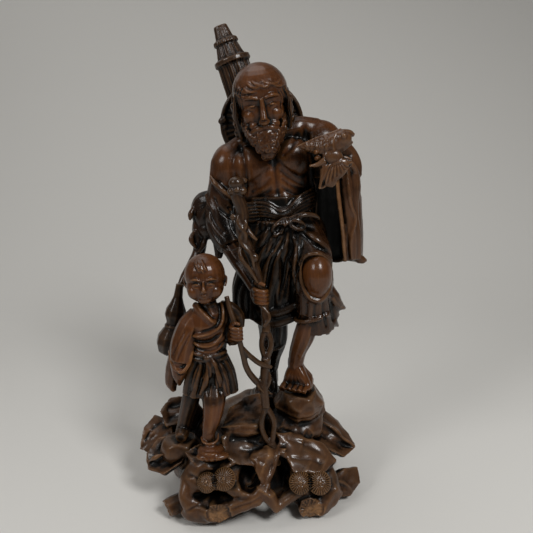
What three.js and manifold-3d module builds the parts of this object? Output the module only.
// A carved wood figure group: an old man with a staff and a fish, and a boy with a gourd, on a root base.
// Millimetres, +Z up. The origin is the middle of the flat underside, and both figures face -Y.
import * as THREE from "three";
import { mergeVertices } from "three/addons/utils/BufferGeometryUtils.js";
import Module from "manifold-3d";

const wasm = await Module();
wasm.setup();

// Fits
const CLEARANCE = 0.3; // air round every tenon, dowel and let-in seat
const DOWEL_RADIUS = 2.2;
const DOWEL_DEPTH = 9; // how far a foot dowel goes into each of its two pieces
const TENON_SIDES = 8;
const PARING = 0.1; // flats closer than this are pared into one, well within the clearance

// Root base
const MOUND_HALF_WIDTH = 60;
const MOUND_HALF_DEPTH = 46;
const MOUND_HEIGHT = 40;
const ROOT_RADIUS = 9.5;
const ROOT_END_RADIUS = 6.5;
const KNIFE_MARK = 1.2; // the same for the rough rocks
const FRONT_ROOT_REACH = 61; // from the middle of the base to a front root's end
const BACK_ROOT_REACH = 50;
const HOLE_RADIUS = 6.8; // the two eyes in the front openwork
const NEEDLE_HEAD_RADIUS = 6.8;
const NEEDLE_HEAD_THICKNESS = 4.5;
const TWIG_RADIUS = 4;
const SIDE_ROCK_THICKNESS = 14; // of the rocks that are let in at the sides

// Rocks that the feet stand on
const MAN_ROCK_HEIGHT = 72;
const MAN_BACK_ROCK_HEIGHT = 58;
const BOY_ROCK_HEIGHT = 44;
const BOY_BACK_ROCK_HEIGHT = 46;
const FOOT_ROCK_RADIUS = 17;
const BOY_ROCK_RADIUS = 14;

// Old man
const ANKLE_HEIGHT = 14;
const SHIN_RISE = 68; // ankle to knee
const THIGH_RISE = 22; // knee to hip
const TORSO_RISE = 45; // hip to chest
const NECK_RISE = 20; // chest to neck
const HEAD_RISE = 24; // neck to the middle of the head
const SHOULDER_SPREAD = 31; // chest to either shoulder
const UPPER_ARM_DROP = 48;
const CRANIUM_RADIUS = 18;
const BEARD_DROP = 34; // middle of the head to the tip of the beard
const NECK_TENON_RADIUS = 6;
const ANKLE_RADIUS = 6;
const CALF_RADIUS = 8.5;
const TROUSER_EASE = 1.3; // the back leg keeps its trouser leg down, so it is this much stouter
const KNEE_RADIUS = 12.5;
const THIGH_RADIUS = 17;
const FOOT_LENGTH = 32;
const TOE_PITCH = 3.3; // one toe to the next
const FOREARM_RADIUS = 6;
const FIST_RADIUS = 6.5;
const SHOULDER_RADIUS = 12.5;
const SLEEVE_RADIUS = 10.5;
const CHEST_HALF_WIDTH = 27;
const CHEST_HALF_DEPTH = 16;
const WAIST_HALF_WIDTH = 23;
const WAIST_HALF_DEPTH = 15.5;
const HEM_HALF_WIDTH = 27;
const HEM_HALF_DEPTH = 25;
const HEM_DROP = 58; // hip to the hem of the robe
const ROBE_FOLDS = 12;
const HEM_ROLL_RADIUS = 2.8; // the turned-up hems on the front of the skirt
const HEM_ROLL_PITCH = 8;
const SASH_WIDTH = 9;
const SASH_THICKNESS = 2.6;
const SASH_RISE = 0.14; // the sash climbs towards the left hip
const LEFT_SLEEVE_DROP = 74;
const LEFT_SLEEVE_HALF_WIDTH = 17;
const LEFT_SLEEVE_HALF_DEPTH = 11.5;
const SLEEVE_WALL = 5;

// Things that the old man carries
const STAFF_RADIUS = 3.4;
const STAFF_KNOT_RADIUS = 5.6;
const STAFF_TOP_RISE = 74; // fist to the top of the staff
const STAFF_EYE_RADIUS = 2.2;
const FISH_LENGTH = 34;
const FISH_HALF_DEPTH = 8; // back to belly
const FISH_HALF_THICKNESS = 5;
const FIN_THICKNESS = 2.4;
const BUNDLE_LENGTH = 116;
const BUNDLE_RADIUS = 13;
const BUNDLE_TIP_RADIUS = 5;
const BUNDLE_SEAT = 2.5; // how far the hat's crown is let into the bundle
const BUNDLE_FLUTES = 13;
const FLUTE_DEPTH = 0.1; // share of the radius
const BUNDLE_LEAN = 0.3; // sideways run for each millimetre of rise
const HAT_RADIUS = 28;
const HAT_HEIGHT = 9;
const HAT_THICKNESS = 3;
const HAT_SIDES = 18;

// Boy
const BOY_HIP_RISE = 42; // foot rock to hip
const BOY_TORSO_RISE = 40; // hip to shoulders
const BOY_HEAD_RISE = 29; // shoulders to the middle of the head
const BOY_HEAD_RADIUS = 12.4;
const BOY_NECK_RADIUS = 4.2;
const BOY_CHEST_HALF_WIDTH = 13;
const BOY_CHEST_HALF_DEPTH = 10;
const BOY_HEM_HALF_WIDTH = 17;
const BOY_HEM_HALF_DEPTH = 13.5;
const BOY_HEM_DROP = 9; // hip to the hem of the skirt
const BOY_SKIRT_FOLDS = 5;
const BOY_LEG_RADIUS = 6;
const BOY_ARM_RADIUS = 5;
const BOY_FIST_RADIUS = 4.5;
const BOY_CUFF_RADIUS = 8.5;
const BOY_SASH_WIDTH = 5;
const BOY_SASH_THICKNESS = 1.6;
const BRANCH_RADIUS = 2;
const GOURD_RADIUS = 10.5;
const GOURD_TOP_RADIUS = 7.5;
const GOURD_LENGTH = 50;

// Faces round one section of each kind of form, and the rounded end of a limb as shares of its radius
const LIMB_SIDES = 8;
const THIN_SIDES = 6;
const ROBE_SIDES = 24;
const BOY_ROBE_SIDES = 20;
const CUFF_SIDES = 16;
const CUFF_FOLDS = 4;
const MOUND_SIDES = 18;
const MOUND_GULLIES = 6;
const ROUND_END_REACH = 0.7;
const ROUND_END_RADIUS = 0.6;

const at = (x, y, z) => new THREE.Vector3(x, y, z);
const from = (start, right, back, up) => at(start.x + right, start.y + back, start.z + up);
const UP = at(0, 0, 1);
const ACROSS = at(1, 0, 0);
const BACK = at(0, 1, 0);

// A closed geometry as a solid: merged corners, no collapsed faces, faces pointing out.
function solidOf(geometry) {
  const bare = geometry.clone();
  bare.deleteAttribute("normal");
  bare.deleteAttribute("uv");
  const merged = mergeVertices(bare, 1e-4);
  const corners = merged.attributes.position;
  const kept = [];
  let volume = 0;
  const [a, b, c] = [at(0, 0, 0), at(0, 0, 0), at(0, 0, 0)];
  for (let i = 0; i < merged.index.count; i += 3) {
    const [p, q, r] = [0, 1, 2].map((k) => merged.index.getX(i + k));
    if (p === q || q === r || r === p) continue;
    kept.push(p, q, r);
    a.fromBufferAttribute(corners, p);
    b.fromBufferAttribute(corners, q);
    c.fromBufferAttribute(corners, r);
    volume += a.dot(b.cross(c));
  }
  const triVerts = new Uint32Array(volume < 0 ? kept.reverse() : kept);
  return new wasm.Manifold(new wasm.Mesh({ numProp: 3, vertProperties: corners.array, triVerts }));
}

const join = (...solids) => solids.reduce((whole, next) => whole.add(next));

// A closed skin over a stack of rings that all have the same count of points.
function skin(rings) {
  const sides = rings[0].length;
  const points = rings.flat();
  const faces = [];
  for (let level = 0; level < rings.length - 1; level++) {
    for (let i = 0; i < sides; i++) {
      const a = level * sides + i;
      const b = level * sides + ((i + 1) % sides);
      faces.push(a, b, b + sides, a, b + sides, a + sides);
    }
  }
  const last = (rings.length - 1) * sides;
  const middle = (ring) => ring.reduce((sum, p) => sum.add(p), at(0, 0, 0)).divideScalar(sides);
  const foot = points.push(middle(rings[0])) - 1;
  const head = points.push(middle(rings[rings.length - 1])) - 1;
  for (let i = 0; i < sides; i++) {
    const next = (i + 1) % sides;
    faces.push(foot, next, i, head, last + i, last + next);
  }
  const geometry = new THREE.BufferGeometry().setFromPoints(points);
  geometry.setIndex(faces);
  return solidOf(geometry);
}

// A limb along a smooth curve, with rounded or blunt ends.
// A radius is a number, or a pair: across, and square to it.
function limb(points, radii, options) {
  const { sides = LIMB_SIDES, steps = 2, across = ACROSS, blunt = false, grow = 0 } = options;
  const curve = new THREE.CatmullRomCurve3(points, false, "centripetal");
  const pairs = radii.map((r) => (Array.isArray(r) ? r : [r, r]));
  const count = (points.length - 1) * steps;
  const rings = [];
  const ringAt = (centre, along, wide, deep) => {
    const u = across.clone().addScaledVector(along, -across.dot(along)).normalize();
    const v = along.clone().cross(u);
    const ring = [];
    for (let i = 0; i < sides; i++) {
      const angle = (2 * Math.PI * i) / sides;
      const point = centre.clone().addScaledVector(u, wide * Math.cos(angle));
      ring.push(point.addScaledVector(v, deep * Math.sin(angle)));
    }
    return ring;
  };
  for (let i = 0; i <= count; i++) {
    const t = i / count;
    const span = Math.min(Math.floor(t * (points.length - 1)), points.length - 2);
    const share = t * (points.length - 1) - span;
    const ease = share * share * (3 - 2 * share);
    const wide = THREE.MathUtils.lerp(pairs[span][0], pairs[span + 1][0], ease) + grow;
    const deep = THREE.MathUtils.lerp(pairs[span][1], pairs[span + 1][1], ease) + grow;
    const centre = curve.getPoint(t);
    const along = curve.getTangent(t);
    const end = Math.min(wide, deep);
    const rounded = (side) => {
      const tip = centre.clone().addScaledVector(along, side * end * ROUND_END_REACH);
      return ringAt(tip, along, wide * ROUND_END_RADIUS, deep * ROUND_END_RADIUS);
    };
    if (i === 0 && !blunt) rings.push(rounded(-1));
    rings.push(ringAt(centre, along, wide, deep));
    if (i === count && !blunt) rings.push(rounded(1));
  }
  return skin(rings);
}

// An egg shape; lump > 0 breaks its surface into the flats and hollows of a carved rock, top cuts it level.
function egg(centre, radii, { lump = 0, seed = 0, grow = 0, sides = 8, top = Infinity } = {}) {
  const geometry = new THREE.SphereGeometry(1, sides, Math.round(sides * 0.6));
  const place = geometry.attributes.position;
  const p = at(0, 0, 0);
  for (let i = 0; i < place.count; i++) {
    p.fromBufferAttribute(place, i);
    const angles = [3.1 * p.x + seed, 2.7 * p.y + 2 * seed, 3.7 * p.z + 3 * seed];
    const wave = angles.reduce((sum, angle) => sum + Math.sin(angle), 0);
    p.multiplyScalar(1 + lump * wave);
    p.set(p.x * (radii[0] + grow), p.y * (radii[1] + grow), p.z * (radii[2] + grow));
    p.add(centre);
    place.setXYZ(i, p.x, p.y, Math.min(p.z, top));
  }
  return solidOf(geometry);
}

// A stack of rings: each level is [z, x, y, half width, half depth, ripple, rise towards the right].
function stack(levels, { sides = ROBE_SIDES, waves = ROBE_FOLDS, phase = 0, grow = 0 } = {}) {
  const rings = levels.map(([z, x, y, wide, deep, ripple, rise = 0], level) => {
    const lift = level === 0 ? -grow : level === levels.length - 1 ? grow : 0;
    return Array.from({ length: sides }, (_, i) => {
      const angle = (2 * Math.PI * i) / sides;
      const fold = 1 + ripple * Math.cos(waves * angle + phase);
      const right = (wide * fold + grow) * Math.cos(angle);
      const back = (deep * fold + grow) * Math.sin(angle);
      return at(x + right, y + back, z + lift + rise * right);
    });
  });
  return skin(rings);
}

// A turned form: profile is a list of [radius, height, depth of its flutes as a share of the radius],
// closed on its axis, stood on centre along axis. There is a flute on every second side.
function turned(profile, centre, axis, { sides = 12, grow = 0 } = {}) {
  const highest = Math.max(...profile.map(([, h]) => h));
  const lowest = Math.min(...profile.map(([, h]) => h));
  const outline = profile.map(([radius, height]) => {
    const lift = height === highest ? grow : height === lowest ? -grow : 0;
    return new THREE.Vector2(radius + grow, height + lift);
  });
  const bottom = new THREE.Vector2(0, lowest - grow);
  const top = new THREE.Vector2(0, highest + grow);
  const geometry = new THREE.LatheGeometry([bottom, ...outline, top], sides);
  const place = geometry.attributes.position;
  const levels = profile.length + 2;
  for (let i = 0; i < place.count; i++) {
    const [, , depth = 0] = profile[(i % levels) - 1] ?? [];
    const share = 1 - depth * (Math.floor(i / levels) % 2);
    place.setXYZ(i, place.getX(i) * share, place.getY(i), place.getZ(i) * share);
  }
  const turn = new THREE.Quaternion().setFromUnitVectors(BACK, axis.clone().normalize());
  geometry.applyQuaternion(turn).translate(centre.x, centre.y, centre.z);
  return solidOf(geometry);
}

// A flat plate: an outline in the XZ plane, centred on a depth of y.
function plate(outline, y, thickness, grow = 0) {
  const shape = new THREE.Shape(outline.map(([x, z]) => new THREE.Vector2(x, z)));
  const bevel = thickness * 0.3;
  const geometry = new THREE.ExtrudeGeometry(shape, {
    depth: thickness - 2 * bevel + 2 * grow,
    bevelEnabled: true,
    bevelThickness: bevel,
    bevelSize: bevel + grow,
    bevelSegments: 1,
    curveSegments: 4,
  });
  geometry.translate(0, 0, bevel - thickness / 2 - grow);
  geometry.rotateX(Math.PI / 2);
  geometry.translate(0, y, 0);
  return solidOf(geometry);
}

// A broken rock: twenty faces, each cut into four, stretched and turned.
function crag(centre, radii, turn) {
  const geometry = new THREE.IcosahedronGeometry(1, 1);
  geometry.scale(...radii).rotateZ(turn).translate(...centre);
  return solidOf(geometry);
}

// A leaf-like rock: rim points, and a face that is hollowed (dish < 0) or crowned towards facing.
function leaf(rim, dish, thickness, facing, grow = 0) {
  const edge = rim.map((point) => at(...point));
  const middle = edge.reduce((sum, p) => sum.add(p), at(0, 0, 0)).divideScalar(edge.length);
  const out = at(...facing).normalize();
  const ease = 2 * grow; // a slanted flank keeps its clearance when rim and faces move this far
  const ring = (share, lift) => edge.map((p) => {
    const spoke = p.clone().sub(middle);
    const reach = share + ease / spoke.length();
    return middle.clone().addScaledVector(spoke, reach).addScaledVector(out, lift);
  });
  return skin([
    ring(0.7, -thickness - ease),
    ring(0.96, -thickness * 0.4),
    ring(1, ease),
    ring(0.6, dish + ease),
  ]);
}

// What is below the sole of a foot, to cut the foot flat just clear of its rock
function belowSole(foot, grow) {
  const depth = 20;
  const ground = new THREE.BoxGeometry(4 * FOOT_LENGTH, 4 * FOOT_LENGTH, depth);
  ground.translate(foot.x, foot.y, foot.z + CLEARANCE - grow - depth / 2);
  return solidOf(ground);
}

const peg = (start, end, grow) => {
  const axis = end.clone().sub(start);
  const profile = [[DOWEL_RADIUS, 0], [DOWEL_RADIUS, axis.length()]];
  return turned(profile, start, axis, { sides: TENON_SIDES, grow });
};

// Where each figure's joints are, each measured from the one that carries it
const manFoot = at(39, -18, MAN_ROCK_HEIGHT);
const manAnkle = from(manFoot, -4, 1, ANKLE_HEIGHT);
const manKnee = from(manAnkle, 17, -14, SHIN_RISE);
const manHip = from(manKnee, -23, 36, THIGH_RISE);
const manChest = from(manHip, -2, 2, TORSO_RISE);
const manNeck = from(manChest, -1, 2, NECK_RISE);
const manHead = from(manNeck, -4, -9, HEAD_RISE);
const manRightShoulder = from(manChest, -SHOULDER_SPREAD + 2, 4, 3);
const manLeftShoulder = from(manChest, SHOULDER_SPREAD + 2, 4, 13);
const manRightElbow = from(manRightShoulder, -6, -3, -UPPER_ARM_DROP);
const manRightFist = from(manRightElbow, 24, -32, -36);
const manLeftElbow = from(manLeftShoulder, 17, -2, -18);
const manLeftHand = from(manLeftElbow, -11, -22, 7);
const manBackFoot = at(18, 12, MAN_BACK_ROCK_HEIGHT);
const boyFoot = at(-22, -46, BOY_ROCK_HEIGHT);
const boyBackFoot = at(-42, -27, BOY_BACK_ROCK_HEIGHT);
const boyHip = from(boyFoot, 2, 19, BOY_HIP_RISE);
const boyShoulders = from(boyHip, 1, 1, BOY_TORSO_RISE);
const boyHead = from(boyShoulders, 0, -3, BOY_HEAD_RISE);
const boyFist = from(boyShoulders, 19, -12, -5);
const staffFoot = at(20, -43, MOUND_HEIGHT - 8);

// Each form below takes grow, the clearance that is added all round when a neighbour is cut to receive it.
const footDowel = (foot) => (grow) => {
  const [low, high] = [-DOWEL_DEPTH, DOWEL_DEPTH].map((rise) => from(foot, 0, 0, rise));
  return peg(low, high, grow);
};

function staff(grow) {
  const fist = manRightFist;
  const r = STAFF_RADIUS;
  const k = STAFF_KNOT_RADIUS;
  const top = from(fist, -11, 3, STAFF_TOP_RISE);
  const below = (share) => fist.clone().lerp(staffFoot, share);
  const eye = from(below(0.31), 0, 2, 0);
  const loop = from(below(0.79), -4, -1, 0);
  const bend = from(fist, -5, 1, 25);
  const upper = [top, from(top, 2, -1, -22), from(top, 0.5, -1, -33), bend, fist];
  const lower = [from(below(0.17), 1, 1, 0), eye, from(below(0.55), -4, 0, 0), loop, staffFoot];
  const shaft = limb([...upper, ...lower],
    [r, r, r * 1.3, r, r * 0.9, r, [k, r], r * 0.9, [k, r * 0.9], r * 0.8],
    { sides: THIN_SIDES, grow });
  const knot = egg(from(top, -2, -1, -6), [k, k * 0.9, k * 1.15], { lump: 0.07, seed: 2, grow });
  const spur = limb([from(top, 0, 0, -4), from(top, 4, -1, 1)], [r * 0.9, r * 0.5],
    { sides: THIN_SIDES, steps: 1, grow });
  const stub = limb([bend, from(bend, 6, -3, 8)], [r * 0.7, r * 0.35],
    { sides: THIN_SIDES, steps: 1, grow });
  const bore = [STAFF_EYE_RADIUS - grow, STAFF_EYE_RADIUS * 1.6 - grow];
  const bored = (spot) => limb([from(spot, 0, -k * 2, 0), from(spot, 0, k * 2, 0)], [bore, bore],
    { sides: THIN_SIDES, steps: 1 });
  return join(shaft, knot, spur, stub).subtract(bored(eye)).subtract(bored(loop));
}

function fish(grow) {
  const gill = from(manLeftHand, -1, -6, 8);
  const [l, d, t] = [FISH_LENGTH, FISH_HALF_DEPTH, FISH_HALF_THICKNESS];
  const tail = [from(gill, -l * 0.64, 6, -1), from(gill, -l * 0.3, 2, 0)];
  const snout = [from(gill, l * 0.22, 2, 3), from(gill, l * 0.36, 3, 5)];
  const body = limb([...tail, gill, ...snout],
    [[d * 0.4, t * 0.45], [d * 0.85, t], [d, t], [d * 0.8, t], [d * 0.42, t * 0.6]],
    { steps: 1, across: UP, grow });
  const fan = [[-0.32, -0.5], [-0.28, -2.8], [-0.04, -2.4], [0.26, -1.5], [0.2, -0.4]];
  const outline = fan.map(([along, down]) => [gill.x + along * l, gill.z + down * d]);
  const fin = plate(outline, gill.y - 2, FIN_THICKNESS, grow);
  const point = limb([from(gill, -l * 0.28, -2, -5), from(gill, -l * 0.52, -2, -11)], [3, 1],
    { sides: THIN_SIDES, steps: 1, grow });
  const eye = egg(from(gill, l * 0.2, -2.5, 6), [2, 2, 2], { grow, sides: 6 });
  return join(body, fin, point, eye);
}

function manHeadForm(grow) {
  const r = CRANIUM_RADIUS;
  const head = manHead;
  const cranium = egg(from(head, 0, 2, 3), [r, r * 1.15, r * 1.12], { grow, sides: 12 });
  const face = egg(from(head, 0, -8, -9), [r * 0.76, r * 0.72, r * 0.95], { grow });
  const nose = limb([from(head, 0, -r * 1.05, -3), from(head, 0, -r * 1.2, -10)], [1.6, 2.8],
    { sides: THIN_SIDES, steps: 1, grow });
  const temples = [-1, 1].map((side) => from(head, side * r * 0.55, -r * 0.85, 0));
  const brow = limb([temples[0], from(head, 0, -r * 1.08, 0), temples[1]], [2, 2.4, 2],
    { sides: THIN_SIDES, steps: 1, across: UP, grow });
  const beard = limb(
    [from(head, 0, -9, -16), from(head, 1, -14, -25), from(head, 1.5, -18, -BEARD_DROP)],
    [[r * 0.8, r * 0.5], [r * 0.66, r * 0.44], [r * 0.26, r * 0.2]], { grow },
  );
  const locks = [-1, 1].map((side) => limb(
    [[0.88, 3], [0.98, -10], [0.78, -24]].map(([share, up]) => from(head, side * r * share, 0, up)),
    [2.6, 3.4, 2.6], { sides: THIN_SIDES, steps: 1, grow },
  ));
  const n = NECK_TENON_RADIUS;
  const tenon = limb([from(head, 2, 4, -12), from(manNeck, 0, 0, -2), from(manNeck, 0, 0, -12)],
    [n * 1.4, n * 1.4, n], { sides: TENON_SIDES, steps: 1, grow });
  return join(cranium, face, nose, brow, beard, ...locks, tenon);
}

// A leg with a bare foot: shin, heel, instep and a row of toes that points from foot to toes.
// The shin's top end is a tenon inside the robe, and stout thickens the shin.
function bareLeg(foot, ankle, calf, tenon, toes, stout, grow) {
  const ahead = toes.clone().sub(foot).normalize();
  const side = at(-ahead.y, ahead.x, 0);
  const heel = foot.clone().addScaledVector(ahead, -FOOT_LENGTH * 0.16);
  const ball = toes.clone().addScaledVector(ahead, -FOOT_LENGTH * 0.18);
  const shin = limb([tenon, calf, ankle, from(heel, 0, 0, 7)],
    [CALF_RADIUS * stout, CALF_RADIUS * stout, ANKLE_RADIUS, ANKLE_RADIUS * 1.1], { steps: 1, grow });
  const instep = limb([from(heel, 0, 0, 5), from(foot, 0, 0, 8), from(ball, 0, 0, 4)],
    [[6, 5.5], [6.5, 6], [8, 3.6]], { steps: 1, across: side, grow });
  const row = [-2, -1, 0, 1, 2].map((i) => {
    const root = from(ball, side.x * i * TOE_PITCH, side.y * i * TOE_PITCH, TOE_PITCH);
    const tip = root.clone().addScaledVector(ahead, FOOT_LENGTH * 0.2 - Math.abs(i - 0.6) * 1.1);
    return limb([root, tip], [TOE_PITCH * 0.49, TOE_PITCH * 0.46],
      { sides: THIN_SIDES, steps: 1, across: side, blunt: true, grow });
  });
  return join(shin, instep, ...row).subtract(belowSole(foot, grow));
}

function manLeftLeg(grow) {
  const calf = from(manAnkle, 8, -6, 30);
  const tenon = from(manKnee, -1, 6, -18);
  const toes = from(manFoot, -FOOT_LENGTH * 0.36, -FOOT_LENGTH * 0.5, 0);
  return bareLeg(manFoot, manAnkle, calf, tenon, toes, 1, grow);
}

function manRightLeg(grow) {
  const ankle = from(manBackFoot, 0, 2, ANKLE_HEIGHT);
  const calf = from(ankle, 5, -6, 28);
  const tenon = from(manHip, -10, 2, -HEM_DROP + 12);
  const toes = from(manBackFoot, -FOOT_LENGTH * 0.2, -FOOT_LENGTH * 0.55, 0);
  return bareLeg(manBackFoot, ankle, calf, tenon, toes, TROUSER_EASE, grow);
}

// A forearm that ends in a fist: four fingers stacked along grip curl round in front of the palm.
function forearm(tenon, wrist, fist, radius, fistRadius, grip, grow) {
  const f = fistRadius;
  const arm = limb([tenon, wrist, fist], [radius * 1.15, radius * 0.85, radius * 0.9],
    { steps: 1, across: BACK, grow });
  const palm = egg(fist, [f * 0.8, f * 0.8, f * 1.15], { grow, sides: THIN_SIDES });
  const ahead = fist.clone().sub(wrist).setZ(0).normalize();
  const side = at(-ahead.y, ahead.x, 0);
  const fingers = [-1.5, -0.5, 0.5, 1.5].map((i) => {
    const knuckle = fist.clone().addScaledVector(grip, i * f * 0.52).addScaledVector(ahead, f * 0.62);
    const ends = [-1, 1].map((way) => knuckle.clone().addScaledVector(side, way * f * 0.5));
    return limb(ends, [f * 0.25, f * 0.25],
      { sides: THIN_SIDES, steps: 1, across: grip, blunt: true, grow });
  });
  return join(arm, palm, ...fingers);
}

function manRightForearm(grow) {
  const tenon = from(manRightElbow, 4, -5, -6);
  const wrist = from(manRightFist, -7, 8, 9);
  return forearm(tenon, wrist, manRightFist, FOREARM_RADIUS, FIST_RADIUS, at(0.1, 0, 1), grow);
}

function manLeftForearm(grow) {
  const tenon = from(manLeftElbow, -1, -3, 3);
  const wrist = from(manLeftHand, 3, 7, -2);
  return forearm(tenon, wrist, manLeftHand, FOREARM_RADIUS, FIST_RADIUS, at(0.3, 0, 0.95), grow);
}

// The hat hangs behind the neck, and the bundle lies on the hat's crown
const hatCentre = from(manNeck, -4, CHEST_HALF_DEPTH - 1, 7);
const hatAxis = at(0, 1, -0.12).normalize();
const hatDowelSpot = from(hatCentre, -4, 0, -4);
const bundleMiddle = from(hatDowelSpot, 0, HAT_HEIGHT + BUNDLE_RADIUS - BUNDLE_SEAT, 0);
const bundleRise = at(-BUNDLE_LEAN, 0.03, 1).normalize();
const bundleFoot = bundleMiddle.clone().addScaledVector(bundleRise, -BUNDLE_LENGTH * 0.36);
const bundleDowel = (grow) => peg(from(hatDowelSpot, 0, -CHEST_HALF_DEPTH, 0), bundleMiddle, grow);

// Three tiers, each with a flared collar where its binding is
function backBundle(grow) {
  const r = BUNDLE_RADIUS;
  const l = BUNDLE_LENGTH;
  const [neck, shoulder] = [l - 11, l - 24];
  const f = FLUTE_DEPTH;
  return turned(
    [[r * 0.55, 0, f], [r, 12, f], [r * 1.02, shoulder * 0.5, f], [r * 0.9, shoulder - 3, f],
      [r, shoulder - 2], [r * 0.98, shoulder + 1], [r * 0.8, shoulder + 2, f], [r * 0.62, neck - 2, f],
      [r * 0.7, neck - 1.5], [r * 0.66, neck + 1], [r * 0.52, neck + 2, f], [BUNDLE_TIP_RADIUS, l, f]],
    bundleFoot, bundleRise, { sides: 2 * BUNDLE_FLUTES, grow },
  );
}

function strawHat(grow) {
  const [r, h] = [HAT_RADIUS, HAT_HEIGHT];
  const profile = [[r - 2, 0], [r, HAT_THICKNESS * 0.5], [r * 0.5, h * 0.7], [r * 0.2, h]];
  return turned(profile, hatCentre, hatAxis, { sides: HAT_SIDES, grow });
}

// A wide sleeve that hangs from the forearm: a bag with a hollow that opens forward and towards the body
function manLeftSleeve(grow) {
  const top = from(manLeftElbow, -7, -1, 10);
  const [w, d, drop] = [LEFT_SLEEVE_HALF_WIDTH, LEFT_SLEEVE_HALF_DEPTH, LEFT_SLEEVE_DROP];
  const bag = stack([
    [top.z - drop, top.x - 1, top.y + 1, w, d, 0.04],
    [top.z - drop * 0.75, top.x, top.y, w * 0.97, d, 0.05],
    [top.z - drop * 0.4, top.x, top.y - 1, w * 0.92, d * 0.98, 0.04],
    [top.z - drop * 0.12, top.x - 2, top.y - 1, w * 0.82, d * 0.95, 0.02],
    [top.z + 2, top.x - 4, top.y, w * 0.55, d * 0.7, 0],
  ], { sides: CUFF_SIDES, waves: CUFF_FOLDS, grow });
  const wall = SLEEVE_WALL;
  const hollow = stack([
    [top.z - drop - wall, top.x - wall, top.y - wall, w, d, 0],
    [top.z - drop * 0.4, top.x - wall, top.y - wall - 1, w * 0.92, d * 0.98, 0],
    [top.z - drop * 0.2, top.x - wall - 1, top.y - wall - 1, w * 0.7, d * 0.8, 0],
  ], { sides: CUFF_SIDES, grow: -grow });
  const curl = limb([from(top, w * 0.5, 0, -drop + 4), from(top, w + 1, 0, -drop + 1)],
    [[4, 2.4], [2.6, 1.8]], { sides: THIN_SIDES, steps: 1, across: BACK, grow });
  const tenon = limb([manLeftElbow, from(manLeftShoulder, 3, 0, -4)], [6, 4.5],
    { sides: TENON_SIDES, steps: 1, across: BACK, grow });
  return join(bag.subtract(hollow), curl, tenon);
}

// The other sleeve falls behind the elbow in a twisted drape
function manRightSleeve(grow) {
  const arm = from(manRightShoulder, -3, 4, -19);
  return limb(
    [from(arm, 3, -2, -2), from(arm, -13, 7, -4), from(arm, -22, 7, -14), from(arm, -22, 6, -34),
      from(arm, -26, 2, -50), from(arm, -30, -6, -64)],
    [4.5, [7, 8], [8, 8.5], [6, 7], [5, 5.5], 3.5], { across: BACK, grow },
  );
}

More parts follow.
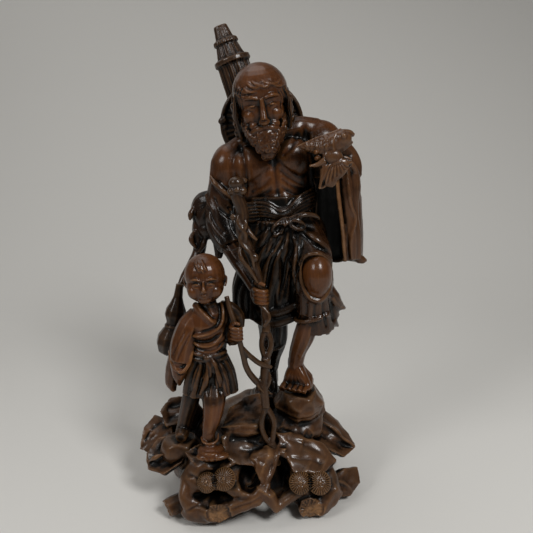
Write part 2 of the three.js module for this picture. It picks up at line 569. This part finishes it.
function manBody(grow) {
  const hip = manHip;
  const chest = manChest;
  const [hw, hd] = [HEM_HALF_WIDTH, HEM_HALF_DEPTH];
  const [cw, cd] = [CHEST_HALF_WIDTH, CHEST_HALF_DEPTH];
  const [ww, wd] = [WAIST_HALF_WIDTH, WAIST_HALF_DEPTH];
  const robe = stack([
    [hip.z - HEM_DROP, hip.x - 5, hip.y + 2, hw, hd, 0.08],
    [hip.z - HEM_DROP * 0.72, hip.x - 4, hip.y + 2, hw, hd * 0.98, 0.08],
    [hip.z - HEM_DROP * 0.3, hip.x - 2, hip.y + 2, hw * 0.95, hd * 0.94, 0.05],
    [hip.z + 10, hip.x, hip.y + 1, ww * 1.02, wd * 1.04, 0.01, SASH_RISE],
    [hip.z + 10.5, hip.x, hip.y + 1, ww + SASH_THICKNESS, wd + SASH_THICKNESS, 0, SASH_RISE],
    [hip.z + 10 + SASH_WIDTH, hip.x, hip.y + 1, ww + SASH_THICKNESS, wd + SASH_THICKNESS, 0, SASH_RISE],
    [hip.z + 11 + SASH_WIDTH, hip.x, hip.y + 1, ww, wd, 0, SASH_RISE],
    [chest.z - 14, chest.x, chest.y, cw * 0.9, cd, 0],
    [chest.z, chest.x, chest.y, cw, cd, 0],
    [chest.z + 12, chest.x, chest.y + 2, cw * 0.95, cd * 0.85, 0],
    [chest.z + NECK_RISE, chest.x, chest.y + 2, cw * 0.5, cd * 0.7, 0],
  ], { phase: 0.6, grow });
  const s = SHOULDER_RADIUS;
  const rightArm = limb(
    [from(chest, -14, 3, 7), manRightShoulder, from(manRightShoulder, -5, 0, -24), manRightElbow,
      from(manRightElbow, 7, -9, -9)],
    [s * 0.9, s, SLEEVE_RADIUS, SLEEVE_RADIUS, SLEEVE_RADIUS * 0.85], { across: BACK, grow },
  );
  const leftArm = limb([from(chest, 14, 3, 9), manLeftShoulder, from(manLeftElbow, -4, 0, 5)],
    [s * 0.9, s, SLEEVE_RADIUS * 0.9], { steps: 1, across: BACK, grow });
  const thigh = limb([from(hip, 14, 0, -2), from(manKnee, -1, 13, 4), manKnee],
    [THIGH_RADIUS, THIGH_RADIUS * 0.9, KNEE_RADIUS], { steps: 1, grow });
  const k = KNEE_RADIUS;
  const cuff = stack([
    [manKnee.z - 3 * k, manKnee.x + 1, manKnee.y + 11, k * 1.1, k, 0.14],
    [manKnee.z - 2 * k, manKnee.x, manKnee.y + 7, k * 0.98, k, 0.07],
    [manKnee.z - 0.5 * k, manKnee.x, manKnee.y + 4, k * 0.96, k * 1.05, 0],
  ], { sides: CUFF_SIDES, waves: CUFF_FOLDS, grow });
  const ruffles = [[-22, 17, 17, -27], [-32, 8, 8, -42]].map(([z, x, y, low]) => limb(
    [from(manKnee, x * 0.4, y * 0.7, z), from(manKnee, x, y, low)], [[7, 4], [3, 1.8]],
    { sides: THIN_SIDES, steps: 1, across: UP, blunt: true, grow },
  ));
  const knotSpot = from(hip, 5, -wd - SASH_THICKNESS, 11);
  const knot = egg(knotSpot, [SASH_WIDTH * 0.65, SASH_WIDTH * 0.5, SASH_WIDTH * 0.55], { grow, sides: 6 });
  const tails = [-1, 1].map((side) => limb(
    [knotSpot, from(knotSpot, side * 3.5, -2, -14), from(knotSpot, side * 5 - 4, -1, -32)],
    [3, [3.6, 2.4], [3, 1.8]], { sides: THIN_SIDES, steps: 1, blunt: true, grow },
  ));
  // Muscle from neck to shoulders, and cloth that bunches at both hips and behind the waist
  const yoke = limb(
    [from(manRightShoulder, 4, 0, 6), from(manNeck, 0, 0, -1), from(manLeftShoulder, -2, 0, 7)],
    [s * 0.65, s * 0.72, s * 0.72], { steps: 1, across: BACK, grow },
  );
  const bunches = [
    egg(from(hip, -23, 3, 2), [ww * 0.56, wd * 0.84, 20], { grow }),
    egg(from(hip, 21, 7, -6), [ww * 0.56, wd * 0.9, 18], { grow }),
    egg(from(hip, -1, 12, 28), [ww * 1.08, wd * 0.77, 15], { grow }),
  ];
  const hems = [0, HEM_ROLL_PITCH].map((drop) => limb(
    [from(hip, -21, 4 - hd, -45 - drop), from(hip, -5, -hd, -49 - drop), from(hip, 13, -hd - 1, -42 - drop)],
    [HEM_ROLL_RADIUS * 0.6, HEM_ROLL_RADIUS, HEM_ROLL_RADIUS * 0.6],
    { sides: THIN_SIDES, steps: 1, across: UP, grow },
  ));
  return join(robe, rightArm, leftArm, thigh, cuff, ...ruffles, knot, ...tails, yoke, ...bunches, ...hems);
}

function boyHeadForm(grow) {
  const r = BOY_HEAD_RADIUS;
  const head = boyHead;
  const skull = egg(from(head, 0, 1, 2), [r, r * 1.08, r * 1.1], { grow, sides: 12 });
  const cheeks = egg(from(head, 0, -3, -5), [r * 0.88, r * 0.8, r * 0.85], { grow });
  const ears = [-1, 1].map((side) => egg(from(head, side * r * 0.98, 1, -2), [1.8, 2.4, 3.6],
    { grow, sides: THIN_SIDES }));
  const nose = egg(from(head, 0, -r * 0.95, -3), [1.7, 1.8, 2.2], { grow, sides: THIN_SIDES });
  const forelock = limb([from(head, -1, -9, 10), from(head, 0, -12.4, 5)], [2.6, 1.2],
    { sides: THIN_SIDES, steps: 1, grow });
  const n = BOY_NECK_RADIUS;
  const neck = limb([from(head, 0, 2, -8), from(boyShoulders, 0, 0, 8), from(boyShoulders, 0, 0, -3)],
    [n * 1.2, n * 1.2, n], { sides: TENON_SIDES, steps: 1, grow });
  return join(skull, cheeks, ...ears, nose, forelock, neck);
}

function boyBranch(grow) {
  const fist = boyFist;
  const r = BRANCH_RADIUS;
  const rod = limb(
    [from(fist, -6, 5, 24), fist, from(fist, 3, 0, -14), from(fist, 8, 1, -30), from(fist, 14, 2, -39)],
    [r, r, r, r * 1.15, r * 1.5], { sides: THIN_SIDES, grow },
  );
  const twig = limb([from(fist, 2, 0, -9), from(fist, 11, 1, -19), from(fist, 20, 2, -25)],
    [r * 0.9, r * 0.9, r * 0.7], { sides: THIN_SIDES, steps: 1, grow });
  return join(rod, twig);
}

function boyLeftForearm(grow) {
  const tenon = from(boyShoulders, 13, -2, -12);
  const wrist = from(boyFist, -4, 6, -3);
  return forearm(tenon, wrist, boyFist, BOY_ARM_RADIUS, BOY_FIST_RADIUS, at(0.2, 0, 1), grow);
}

// The boy's other arm hangs in a wide sleeve with an open cuff and a trailing tip
function boyRightSleeve(grow) {
  const shoulder = from(boyShoulders, -9, 0, 1);
  const r = BOY_CUFF_RADIUS;
  const cuffSpot = from(shoulder, -10, -8, -27);
  const arm = limb([shoulder, from(shoulder, -9, -3, -13), cuffSpot],
    [BOY_ARM_RADIUS * 1.2, r * 0.9, r], { steps: 1, grow });
  const tip = limb([from(shoulder, -11, -3, -25), from(shoulder, -13, 0, -40), from(shoulder, -14, 2, -52)],
    [[r * 0.8, r * 0.6], [r * 0.7, r * 0.5], r * 0.3], { steps: 1, grow });
  const mouth = egg(from(cuffSpot, -1, -r * 0.5, -r * 0.75), [r * 0.66, r * 0.6, r * 0.6],
    { grow: -grow });
  return join(arm, tip).subtract(mouth);
}

const gourdAxis = at(0.22, 0.05, 1).normalize();
const gourdFoot = from(boyShoulders, -30, 17, -28);

function gourd(grow) {
  const [r, t, l] = [GOURD_RADIUS, GOURD_TOP_RADIUS, GOURD_LENGTH];
  return turned(
    [[r * 0.5, 0], [r * 0.88, l * 0.06], [r, l * 0.18], [r * 0.85, l * 0.32], [t * 0.66, l * 0.42],
      [t, l * 0.56], [t * 0.86, l * 0.68], [t * 0.45, l * 0.78], [t * 0.36, l]],
    gourdFoot, gourdAxis, { grow },
  );
}

const gourdDowelSpot = gourdFoot.clone().addScaledVector(gourdAxis, GOURD_LENGTH * 0.42);
const gourdDowel = (grow) => peg(from(gourdDowelSpot, -2, 1, 0), from(boyShoulders, -8, 3, -8), grow);

function boyBody(grow) {
  const hip = boyHip;
  const top = boyShoulders;
  const [hw, hd] = [BOY_HEM_HALF_WIDTH, BOY_HEM_HALF_DEPTH];
  const [cw, cd] = [BOY_CHEST_HALF_WIDTH, BOY_CHEST_HALF_DEPTH];
  const [ww, wd] = [cw * 0.88, cd * 0.94];
  const [sw, sd] = [ww + BOY_SASH_THICKNESS, wd + BOY_SASH_THICKNESS];
  const robe = stack([
    [hip.z - BOY_HEM_DROP, hip.x - 1, hip.y, hw, hd, 0.09],
    [hip.z + 4, hip.x, hip.y, hw * 0.9, hd * 0.92, 0.06],
    [hip.z + 16, hip.x, hip.y, ww, wd, 0.02],
    [hip.z + 16.5, hip.x, hip.y, sw, sd, 0],
    [hip.z + 16 + BOY_SASH_WIDTH, hip.x, hip.y, sw, sd, 0],
    [hip.z + 16.5 + BOY_SASH_WIDTH, hip.x, hip.y, ww, wd, 0],
    [top.z - 9, top.x, top.y, cw, cd, 0],
    [top.z + 1, top.x, top.y, cw * 1.04, cd * 0.9, 0],
    [top.z + 11, top.x, top.y, cw * 0.5, cd * 0.64, 0],
  ], { sides: BOY_ROBE_SIDES, waves: BOY_SKIRT_FOLDS, grow });
  const a = BOY_ARM_RADIUS;
  const leftArm = limb([from(top, 8, 0, 0), from(top, 14, -1, -11)], [a * 1.4, a * 1.35],
    { steps: 1, across: BACK, grow });
  const r = BOY_LEG_RADIUS;
  const leg = (foot, thigh) => {
    const rise = thigh.clone().sub(foot);
    const knee = from(foot, rise.x * 0.6, rise.y * 0.5, rise.z * 0.55);
    const shin = limb([thigh, knee, from(foot, 0, 3, 9)], [r * 1.15, r, r * 0.85], { steps: 1, grow });
    const shoe = limb([from(foot, 0, 4, 5), from(foot, 0.5, -7, 4)],
      [[r * 0.85, r * 0.9], [r * 0.9, r * 0.75]], { steps: 1, grow });
    return join(shin, shoe).subtract(belowSole(foot, grow));
  };
  return join(robe, leftArm, leg(boyFoot, from(hip, 4, -4, -2)), leg(boyBackFoot, from(hip, -11, 1, -2)));
}

// A spray: a twig out of the mound that carries two round needle heads
function spray(heads, root, facing, grow) {
  const face = facing.clone().normalize();
  const [r, t] = [NEEDLE_HEAD_RADIUS, NEEDLE_HEAD_THICKNESS];
  const forms = heads.map((spot) => {
    const foot = spot.clone().addScaledVector(face, -t * 0.5);
    return turned([[r * 0.6, 0], [r, t * 0.5], [r * 0.7, t]], foot, face, { grow });
  });
  const fork = heads[0].clone().lerp(heads[1], 0.5).addScaledVector(face, -t * 0.3);
  const wide = heads[0].distanceTo(heads[1]) * 0.5;
  const twig = limb([fork, root], [[wide, TWIG_RADIUS * 0.7], TWIG_RADIUS * 1.2],
    { sides: THIN_SIDES, steps: 1, across: heads[1].clone().sub(heads[0]), grow });
  return join(...forms, twig);
}

const frontEdge = -MOUND_HALF_DEPTH;
const leftPineSpray = (grow) => spray([at(-23.5, frontEdge - 14, 32), at(-12.5, frontEdge - 15, 34.5)],
  at(-19, frontEdge + 8, 20), at(-0.15, -0.8, 0.6), grow);
const rightPineSpray = (grow) => spray([at(34, frontEdge - 11, 26.5), at(46, frontEdge - 9, 24)],
  at(36, frontEdge + 18, 18), at(0.15, -0.8, 0.6), grow);

const leftRock = (grow) => join(
  leaf([[-67, -33, 27], [-68, -28, 36], [-61, -19, 42], [-50, -18, 43], [-38, -32, 42], [-42, -40, 35],
    [-55, -41, 27]], -2.5, SIDE_ROCK_THICKNESS, [-0.2, -0.75, 0.65], grow),
  leaf([[-76, -12, 30], [-74, -4, 43], [-66, 4, 48], [-55, 0, 46], [-51, -14, 40], [-62, -21, 28]],
    -1.5, SIDE_ROCK_THICKNESS, [-0.5, -0.6, 0.6], grow),
);
const rightRock = (grow) => join(
  leaf([[40, -28, 43], [44, -19, 48], [56, -15, 43.5], [67, -18, 33.5], [75, -18, 26], [66, -29, 26],
    [50, -34, 38]], -2, SIDE_ROCK_THICKNESS, [0.25, -0.75, 0.6], grow),
  leaf([[44, -19, 48], [47, -8, 50], [56, -1, 48], [66, -2, 39], [76, -16, 26.5], [66, -17, 34.5],
    [55, -14, 44.5]], 1, SIDE_ROCK_THICKNESS, [0.45, -0.45, 0.75], grow),
);
const cornerRock = (grow) => leaf(
  [[54, -41, 19], [65, -34, 20.5], [75, -27, 17], [76, -34, 9], [68, -41, 4], [57, -45, 6]],
  1, SIDE_ROCK_THICKNESS, [0.35, -0.85, 0.4], grow,
);

// Broken rocks at the foot of the mound: centre, radii and turn
const MOUND_ROCKS = [
  [[-17, -46, 28], [26, 15, 13], 0.1],
  [[-28, -52, 10], [16, 11, 10], 0.4],
  [[40, -42, 17], [18, 12, 15], 0.3],
  [[34, -15, 44], [22, 19, 17], 0.5],
];

// Leaf-like rocks on the mound: rim, dish, thickness and facing
const MOUND_LEAVES = [
  [[[-16, -40, 58], [-10, -24, 64], [0, -14, 67], [11, -11, 68], [14, -24, 63], [11, -37, 58],
    [-4, -41, 59.5]], -1.5, 16, [0, -0.5, 0.85]],
  [[[-15, -42, 53], [0, -38, 55], [12, -36, 52], [19, -42, 42], [10, -54, 38], [-4, -56, 40], [-13, -52, 45]],
    -2, 16, [0.1, -0.75, 0.65]],
  [[[20, -38, 52], [36, -33, 49], [52, -32, 39], [60, -41, 31], [49, -53, 29], [30, -56, 33]],
    1.5, 20, [0.2, -0.65, 0.75]],
  [[[-40, -45, 46], [-28, -39, 48], [-11, -41, 48], [-2, -50, 41], [-12, -59, 40], [-30, -58, 41]],
    -2, 10, [0, -0.4, 0.9]],
  [[[-62, 1, 52], [-57, 13, 56], [-43, 13, 58.5], [-33, 1, 57], [-42, -11, 49], [-57, -8, 44.5]],
    -2, 24, [-0.3, -0.5, 0.8]],
  [[[-42, -50, 30], [-36, -47, 37.5], [-26, -53, 37.5], [-27, -58, 30], [-35, -59, 22]],
    1.5, 10, [-0.2, -0.9, 0.35]],
  [[[42, -26, 50], [45, -14, 68], [54, -6, 63], [57, -8, 50], [50, -22, 44]], 0, 12, [0.75, -0.6, 0.25]],
];

function rootBase() {
  const [w, d, h] = [MOUND_HALF_WIDTH, MOUND_HALF_DEPTH, MOUND_HEIGHT];
  const floorDepth = 40;
  const mound = stack([
    [-2, 0, 2, w * 0.88, d * 0.94, 0.05],
    [h * 0.25, 0, 2, w * 0.94, d, 0.06],
    [h * 0.6, 0, 3, w * 0.86, d * 0.92, 0.08],
    [h, 3, 7, w * 0.66, d * 0.72, 0.08],
    [h * 1.3, 12, 10, w * 0.42, d * 0.46, 0.06],
  ], { sides: MOUND_SIDES, waves: MOUND_GULLIES, phase: 1.1 });
  const rocks = MOUND_ROCKS.map((rock) => crag(...rock));
  const leaves = MOUND_LEAVES.map((rock) => leaf(...rock));
  // Each foot stands on the level top of a boulder.
  const rest = (foot, radius, seed) => egg(from(foot, -2, 1, -radius * 0.6), [radius, radius, radius * 1.1],
    { lump: 0.05, seed, top: foot.z });
  const rests = [
    rest(manFoot, FOOT_ROCK_RADIUS, 0.4),
    rest(manBackFoot, FOOT_ROCK_RADIUS, 1.7),
    rest(boyFoot, BOY_ROCK_RADIUS, 2.9),
    rest(boyBackFoot, BOY_ROCK_RADIUS, 4.3),
  ];
  const [f, b, r, e] = [FRONT_ROOT_REACH, BACK_ROOT_REACH, ROOT_RADIUS, ROOT_END_RADIUS];
  const rootTo = (start, bend, end) => limb([start, bend, end], [r * 1.2, r, e],
    { sides: THIN_SIDES, steps: 1 });
  const roots = [
    rootTo(at(-38, 20, 28), at(-46, b * 0.76, 15), at(-51, b, e)),
    rootTo(at(14, 22, 30), at(24, b * 0.88, 17), at(26, b * 1.08, e)),
    rootTo(at(-12, 24, 26), at(-14, b * 0.8, 12), at(-15, b * 0.92, e)),
    rootTo(at(44, 20, 26), at(54, b * 0.6, 12), at(57, b * 0.68, e)),
    rootTo(at(46, -30, 24), at(53, -f * 0.8, 13), at(46, -f * 0.9, e)),
  ];
  // Sawn stubs show their ends at the foot of the front.
  const stub = (start, end, radius) => limb([start, end], [radius * 1.15, radius],
    { sides: TENON_SIDES, steps: 1, across: UP, blunt: true });
  const stubs = [
    stub(at(-18, -48, 15), at(-18, -f - 4, 11.5), e),
    stub(at(-26, -50, 12), at(-26, -f - 2, 9), e * 0.84),
    stub(at(36, -40, 16), at(40, -f, 8), e * 1.1),
    stub(at(-38, -44, 12), at(-54, -49, 7), e * 0.9),
  ];
  // Struts fork across the front, below the staff.
  const strut = (...points) => limb(points, [e * 0.9, e * 0.72, e * 0.8],
    { sides: THIN_SIDES, steps: 1, across: UP });
  const struts = [
    strut(at(-16, -f, 12), at(6, -f, 19), at(19, -f + 11, 38)),
    strut(at(12, -f + 2, 25), at(18, -f, 13), at(36, -f + 8, 21)),
    strut(at(-10, -f + 3, 25), at(3, -f + 1, 25), at(11, -f + 9, 38)),
    strut(at(-32, -f + 16, 30), at(-37, -f + 5, 18), at(-22, -f, 9)),
  ];
  const hole = (x, z, share) => limb([at(x, -f - 10, z - 2), at(x, -f + 6, z), at(x * 0.95, -f + 20, z + 3)],
    [HOLE_RADIUS * share, HOLE_RADIUS * share, HOLE_RADIUS * share * 0.6], { sides: LIMB_SIDES, steps: 1 });
  const arch = limb([at(8, -f - 20, 2), at(10, -f + 11, 4), at(10, -f + 30, 3)], [12, 10, 6], { steps: 1 });
  const slot = egg(at(-21, -f - 2, 21.5), [14, 13, 4]);
  const floor = new THREE.BoxGeometry(6 * MOUND_HALF_WIDTH, 6 * MOUND_HALF_WIDTH, floorDepth);
  floor.translate(0, 0, -floorDepth / 2);
  const carved = join(mound, ...rocks, ...leaves, ...rests, ...roots, ...stubs, ...struts)
    .subtract(hole(2, 31, 1))
    .subtract(hole(23, 25, 0.8))
    .subtract(arch)
    .subtract(slot);
  return carved.asOriginal().simplify(KNIFE_MARK).subtract(solidOf(floor));
}

// Finishes
const finish = (color, roughness) => new THREE.MeshStandardMaterial({ color, roughness, metalness: 0 });
const figureWood = finish(0x5e3a20, 0.35);
const robeWood = finish(0x3a2316, 0.4);
const boyWood = finish(0x6b4425, 0.33);
const carriedWood = finish(0x4e3220, 0.42);
const baseWood = finish(0x52331e, 0.38);
const pegWood = finish(0x8a6a48, 0.7);

// Every piece, innermost first. A piece is cut to clear the ones listed before it.
const pieces = [
  ["man_left_dowel", footDowel(manFoot), pegWood],
  ["man_right_dowel", footDowel(manBackFoot), pegWood],
  ["boy_left_dowel", footDowel(boyFoot), pegWood],
  ["boy_right_dowel", footDowel(boyBackFoot), pegWood],
  ["bundle_dowel", bundleDowel, pegWood],
  ["gourd_dowel", gourdDowel, pegWood],
  ["staff", staff, carriedWood],
  ["boy_branch", boyBranch, carriedWood],
  ["fish", fish, carriedWood],
  ["man_head", manHeadForm, figureWood],
  ["boy_head", boyHeadForm, boyWood],
  ["man_right_forearm", manRightForearm, figureWood],
  ["man_left_forearm", manLeftForearm, figureWood],
  ["boy_left_forearm", boyLeftForearm, boyWood],
  ["man_left_leg", manLeftLeg, figureWood],
  ["man_right_leg", manRightLeg, figureWood],
  ["back_bundle", backBundle, carriedWood],
  ["straw_hat", strawHat, carriedWood],
  ["gourd", gourd, carriedWood],
  ["boy_right_sleeve", boyRightSleeve, boyWood],
  ["man_left_sleeve", manLeftSleeve, robeWood],
  ["man_right_sleeve", manRightSleeve, robeWood],
  ["boy_body", boyBody, boyWood],
  ["man_body", manBody, robeWood],
  ["left_pine_spray", leftPineSpray, baseWood],
  ["right_pine_spray", rightPineSpray, baseWood],
  ["left_rock", leftRock, baseWood],
  ["right_rock", rightRock, baseWood],
  ["corner_rock", cornerRock, baseWood],
  ["root_base", rootBase, baseWood],
];

const carving = new THREE.Group();
const cutters = [];
for (const [name, form, material] of pieces) {
  let solid = form(0).asOriginal().simplify(PARING);
  const reach = solid.boundingBox();
  for (const cutter of cutters) {
    const other = cutter.boundingBox();
    const apart = [0, 1, 2].some((k) => other.min[k] > reach.max[k] || other.max[k] < reach.min[k]);
    if (!apart) solid = solid.subtract(cutter);
  }
  // Slivers that a cut leaves loose fall away, as they do on the bench.
  const [largest] = solid.decompose().sort((a, b) => b.volume() - a.volume());
  const mesh = largest.getMesh();
  const geometry = new THREE.BufferGeometry();
  geometry.setAttribute("position", new THREE.BufferAttribute(new Float32Array(mesh.vertProperties), 3));
  geometry.setIndex(new THREE.BufferAttribute(new Uint32Array(mesh.triVerts), 1));
  geometry.computeVertexNormals();
  const piece = new THREE.Mesh(geometry, material);
  piece.name = name;
  carving.add(piece);
  cutters.push(form(CLEARANCE));
}

export default carving;
